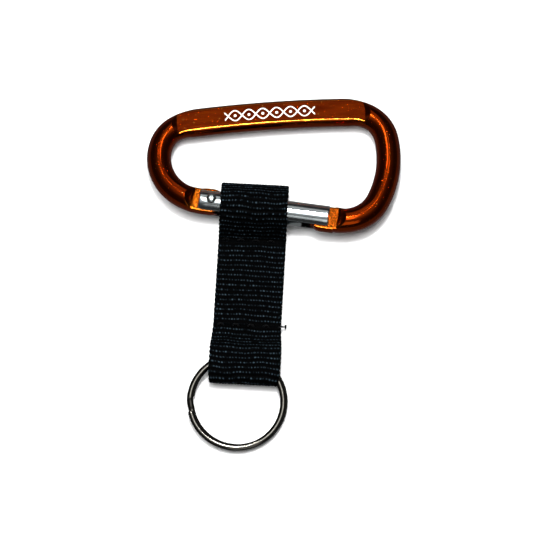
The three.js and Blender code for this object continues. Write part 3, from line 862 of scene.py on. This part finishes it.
def strap_piece(name, side_view, seams, flare, ring=None, seed=3):
    """One loop of doubled webbing as a single folded strip, with its ribs and warp yarns."""
    line, ribs = even_path(side_view, ROWS_PER_RIB)
    travel = np.gradient(line, axis=0)
    travel /= np.linalg.norm(travel, axis=1)[:, None]
    outward = np.stack([travel[:, 1], -travel[:, 0]], axis=-1)
    stations = strap_columns()
    rows, sides = len(line), len(stations)
    rib_place = np.repeat(np.linspace(0, ribs, rows)[:, None], sides, axis=1)
    across = np.repeat(stations[:, 0][None, :], rows, axis=0)
    share, face = stations[:, 1][None, :], stations[:, 2][None, :]
    ends = np.sin(math.pi * rib_place / ribs) ** 0.5
    bowed = rib_place + ends * sum(size * np.sin(across * rate + rib_place * rib_rate)
                                   for size, rate, rib_rate in BOWING)
    bowed = np.clip(bowed, 0, ribs)
    height = weave_height(bowed, across + face * 0.2, ribs, seed)
    y, z = line[:, 0][:, None], line[:, 1][:, None]
    pinch = sum(np.exp(-((y - seam) / SEAM_WIDTH) ** 2) * (z < 2 * PLY) for seam in seams)
    height = height * (1 - SEAM_FLATTENS * pinch)
    scallop = SCALLOP * np.abs(np.sin(math.pi * rib_place)) ** 0.8
    wide = 1 + (scallop - SCALLOP + flare(y)) / STRAP_HALF
    relief = RELIEF * (1 - height) * np.where(face > 0, 1.0, INNER_RELIEF)
    thick = PLY / 2 - relief - SEAM_DEPTH * pinch * (face > 0)
    offset = face * thick * share
    local = np.stack([
        across * wide,
        y + outward[:, 0][:, None] * offset,
        z + outward[:, 1][:, None] * offset,
    ], axis=-1)
    if ring is not None:
        local = ring(local)
    piece = loft(name, local, on_strap, sharp_degrees=60.0)
    store(piece, "weave", np.stack([across, bowed * RIB_PITCH, height], axis=-1).reshape(-1, 3))
    store(piece, "crest", height.reshape(-1), "FLOAT")
    return piece


def no_flare(y):
    return 0.0 * y


def ring_loop_flare(y):
    """The ring loop is 0.5 mm wider on each side, and 0.1 mm wider at its end fold."""
    return 0.5 * smoothstep(-33, -42, y) - 0.4 * smoothstep(-49, -51.5, y)


def clear_of_ring(local):
    """Moves any cloth that would lie in the split ring inwards, past the wire's inner edge."""
    room = 0.12
    points = on_ring.local(on_strap(local.reshape(-1, 3)))
    radius = np.hypot(points[:, 0], points[:, 1])
    inner = RING_OUTER - RING_RADIAL - room - math.hypot(*COIL_SHIFT)
    outer = RING_OUTER + room + COIL_SHIFT[0] / 2
    half = (RING_PITCH + RING_AXIAL) / 2 + room
    caught = (radius > inner) & (radius < outer) & (np.abs(points[:, 2]) < half)
    scale = np.where(caught, inner / radius, 1.0)
    points[:, 0] *= scale
    points[:, 1] *= scale
    return on_strap.local(on_ring(points)).reshape(local.shape)


STITCH_PITCH, STITCH_INSET, THREAD_RADIUS = 2.2, 1.1, 0.24
STITCH_STEPS = 16
FRONT_SINK, BACK_SINK = 0.14, 0.3       # from each face of the strap to the thread's middle
TAIL_RISE = 0.4
# The loose tail's points: beyond the strap's edge, up along it, and below its front face.
TAIL = [(0.2, 0.0, 0.35), (1.0, -0.02, 0.5), (1.1, 0.1, 0.5),
        (1.12, 0.6, 0.5), (1.3, 0.62, 0.5), (1.28, -0.6, 0.5)]


def stitch_thread(name, seam, spread, tail):
    """A row of lockstitches through both plies: it shows as loops on the front and on the back."""
    left, right = -STRAP_HALF + STITCH_INSET, STRAP_HALF - STITCH_INSET
    count = round((right - left) / STITCH_PITCH)
    path = []
    for step in np.linspace(0, count, count * STITCH_STEPS + 1):
        x = left + (right - left) * step / count
        rise = math.sin(math.pi * (step % 1)) ** 0.5 if step % 1 else 0.0
        side = 1 if int(step) % 2 == 0 else -1
        z = PLY + side * (PLY - (FRONT_SINK if side > 0 else BACK_SINK)) * rise
        y = seam + spread * math.sin(math.pi * step)
        path.append((x, y, z))
    if tail:
        y = seam + TAIL_RISE
        path.append((right + STITCH_INSET * 0.5, seam + TAIL_RISE / 2, 2 * PLY - 0.2))
        path += [(STRAP_HALF + out, y + up, 2 * PLY - sink) for out, up, sink in TAIL]
    return tube(name, np.array(path), THREAD_RADIUS)


def tube(name, path, radius, sides=12):
    """A round thread along a path in the strap's frame."""
    travel = np.gradient(path, axis=0)
    travel /= np.linalg.norm(travel, axis=1)[:, None]
    rings, weave = [], []
    for index, (point, ahead) in enumerate(zip(path, travel)):
        side = unit(np.cross(ahead, (0.03, 1, 0.02)))
        up = np.cross(side, ahead)
        ring = [point + radius * (math.cos(a) * side + math.sin(a) * up)
                for a in np.linspace(0, 2 * math.pi, sides, endpoint=False)]
        rings.append(ring)
        weave += [(index * 0.9 + k * 0.55, k * 0.4, 0.0) for k in range(sides)]
    piece = loft(name, rings, on_strap, sharp_degrees=60.0)
    store(piece, "weave", weave)
    return piece


# ------------------------------------------------------------------ split ring

def split_ring():
    """Flattened wire wound twice round, stepping from one coil to the other by its cut ends."""
    middle = RING_OUTER - RING_RADIAL / 2
    sides = np.linspace(0, 2 * math.pi, 28, endpoint=False)
    flat = 2 / RING_SQUARENESS
    out = np.sign(np.cos(sides)) * np.abs(np.cos(sides)) ** flat * RING_RADIAL / 2
    up = np.sign(np.sin(sides)) * np.abs(np.sin(sides)) ** flat * RING_AXIAL / 2
    first, last = RING_END_GAP, 720 - RING_END_GAP
    rings = []
    for degrees in np.linspace(first, last, 460):
        crossing = float(smoothstep(360 - RING_END_GAP, 360 + RING_END_GAP, degrees))
        z = RING_PITCH * (0.5 - crossing)
        from_end = min(degrees - first, last - degrees) * math.radians(1) * middle
        slim = 1 - RING_TAPER["share"] * math.exp(-(from_end / RING_TAPER["length"]) ** 2)
        angle = math.radians(degrees + RING_CROSSOVER)
        rings.append(np.stack([
            (middle + out * slim) * math.cos(angle) + COIL_SHIFT[0] * (crossing - 0.5),
            (middle + out * slim) * math.sin(angle) + COIL_SHIFT[1] * crossing,
            z + up * slim,
        ], axis=-1))
    return loft("split_ring_wire", rings, on_ring, sharp_degrees=50.0)


# ------------------------------------------------------------------ the object

anodised = anodised_metal()
aluminium = bare_metal("bare_aluminium", (0.62, 0.68, 0.69), 0.13, 0.35)
steel = bare_metal("spring_steel", (0.5, 0.5, 0.52), 0.3, 0.1)
nickel = bare_metal("dark_nickel", (0.11, 0.105, 0.092), 0.09, 0.08)
cloth = webbing_cloth()
thread = thread_cloth()


def install(piece, material, slot, body, *nodes):
    """Gives a piece its material, hides the CAD nodes it replaces and attaches it to its body, if it
    has one; slot is not used.
    """
    coat(piece, material)
    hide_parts(*nodes)
    if body:
        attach(piece, body)
    return piece


install(carabiner_rod(), anodised, "anodised_frame", "frame", "carabiner_frame")
install(gate_bar(), aluminium, "bare_aluminium", "gate", "gate")
install(domed_rivet(), aluminium, "bare_aluminium", "gate", "hinge_rivet")
install(plunger_pin(), steel, "spring_steel", "plunger", "gate_plunger")
spring = install(coil_spring(), steel, "spring_steel", None, "gate_spring")
spring_ends = [on_gate((x, 0, 0)) for x in (
    BORE_END - 2 * SPRING_CLEARANCE, PLUNGER_FACE + PLUNGER_LENGTH + SPRING_CLEARANCE)]
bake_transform(spring)

upper = strap_piece("webbing_upper", upper_side_view(), [UPPER_SEAM_Y], no_flare, seed=3)
lower = strap_piece("webbing_lower", lower_side_view(), [LOWER_SEAM_Y], ring_loop_flare,
                    clear_of_ring, seed=5)
install(upper, cloth, "webbing", None, "webbing_gate_loop", "webbing_middle")
install(lower, cloth, "webbing", None, "webbing_ring_loop")
for piece, bodies, flex in (
    (upper, ("gate_loop", "strap_middle"), UPPER_FLEX_Y),
    (lower, ("strap_middle", "ring_loop"), LOWER_FLEX_Y),
):
    ends = [on_strap((0, flex + side * BEND_HALF, PLY)) for side in (1, -1)]
    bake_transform(piece)

upper_thread = stitch_thread("upper_seam_thread", UPPER_SEAM_Y, spread=0.3, tail=False)
lower_thread = stitch_thread("lower_seam_thread", LOWER_SEAM_Y, spread=0.45, tail=True)
install(upper_thread, thread, "thread", "gate_loop", "upper_stitching")
install(lower_thread, thread, "thread", "ring_loop", "lower_stitching")
install(split_ring(), nickel, "ring_nickel", "ring", "split_ring")


# ------------------------------------------------------------------ stage, light and camera

def stage_floor():
    half, drop = 1.5, -0.00002          # the table lies just under the object, in metres
    corners = [(-half, -half, drop), (half, -half, drop), (half, half, drop), (-half, half, drop)]
    table = add_mesh("table_top", corners, [(0, 1, 2, 3)])
    coat(table, floor_paper())
    table.visible_glossy = False        # the polished metal mirrors the dim room instead


def softbox(name, azimuth, elevation, distance, size, watts, mirrored):
    """An area light that faces the object from a compass direction and height in degrees.
    One that isn't mirrored lights the cloth and the table without showing in the polished metal."""
    light = bpy.data.lights.new(name, "AREA")
    light.shape = "RECTANGLE"
    light.size, light.size_y = size
    light.energy = watts
    lamp = bpy.data.objects.new(name, light)
    lamp.visible_glossy = mirrored
    turn, lift = math.radians(azimuth), math.radians(elevation)
    across = math.cos(lift)
    away = Vector((math.sin(turn) * across, -math.cos(turn) * across, math.sin(lift)))
    lamp.location = away * distance
    lamp.rotation_mode = "QUATERNION"
    lamp.rotation_quaternion = (-away).to_track_quat("-Z", "Y")
    bpy.context.scene.collection.objects.link(lamp)


# The room's brightness by the sine of the height: 0 is the horizon and all below it, 1 straight up.
ROOM_LEVELS = [(0.0, 0.16), (0.08, 0.03), (0.6, 0.03), (0.84, 0.1), (0.91, 0.3), (1.0, 0.5)]


def dim_room():
    """A plain room that is bright overhead and dark round the sides."""
    world = bpy.data.worlds.new("studio")
    world.use_nodes = True
    tree = world.node_tree
    place = tree.nodes.new("ShaderNodeTexCoord")
    parts = tree.nodes.new("ShaderNodeSeparateXYZ")
    ramp = tree.nodes.new("ShaderNodeValToRGB")
    tree.links.new(place.outputs["Generated"], parts.inputs[0])
    tree.links.new(parts.outputs[2], ramp.inputs[0])
    tree.links.new(ramp.outputs[0], tree.nodes["Background"].inputs[0])
    while len(ramp.color_ramp.elements) < len(ROOM_LEVELS):
        ramp.color_ramp.elements.new(0.5)
    for element, (height, level) in zip(ramp.color_ramp.elements, ROOM_LEVELS):
        element.position = height
        element.color = (level, level, level, 1)
    bpy.context.scene.world = world


CAMERA_ELEVATION, CAMERA_DISTANCE, VIEW_WIDTH = 72.0, 1.2, 0.1543
AIM_OFFSET = Vector((-0.0011, 0.0016, 0.0))


def camera():
    """A camera at the photo's height above the table, aimed close to the CAD box's middle."""
    middle = (cad_low + cad_high) / 2
    aim = Vector((middle.x, middle.y, 0)) + AIM_OFFSET
    lift = math.radians(CAMERA_ELEVATION)
    away = Vector((0, -math.cos(lift), math.sin(lift)))
    data = bpy.data.cameras.new("camera")
    data.lens = data.sensor_width * CAMERA_DISTANCE / VIEW_WIDTH
    data.clip_start, data.clip_end = 0.05, 10
    shooter = bpy.data.objects.new("camera", data)
    shooter.location = aim + away * CAMERA_DISTANCE
    shooter.rotation_mode = "QUATERNION"
    shooter.rotation_quaternion = (-away).to_track_quat("-Z", "Y")
    bpy.context.scene.collection.objects.link(shooter)
    bpy.context.scene.camera = shooter


# Azimuth, elevation, distance, size, watts, and whether polished metal mirrors it.
LIGHTS = {
    "overhead_softbox": (180, 88, 0.8, (0.28, 0.26), 1.0, True),
    "strip_softbox": (180, 75, 0.8, (0.08, 0.126), 4.2, True),
    "left_line": (200, 63.5, 0.8, (0.02, 0.14), 0.22, True),
    "right_line": (160, 63.5, 0.8, (0.02, 0.14), 0.16, True),
    "back_softbox": (180, 45, 1.0, (0.5, 0.36), 0.25, True),
    "wide_softbox": (222, 70, 1.0, (1.2, 1.1), 16.5, False),
    "front_fill": (10, 45, 1.2, (0.7, 0.5), 1.0, True),
}

stage_floor()
for light_name, light_settings in LIGHTS.items():
    softbox(light_name, *light_settings)
dim_room()
camera()
bpy.context.scene.view_settings.view_transform = "Standard"
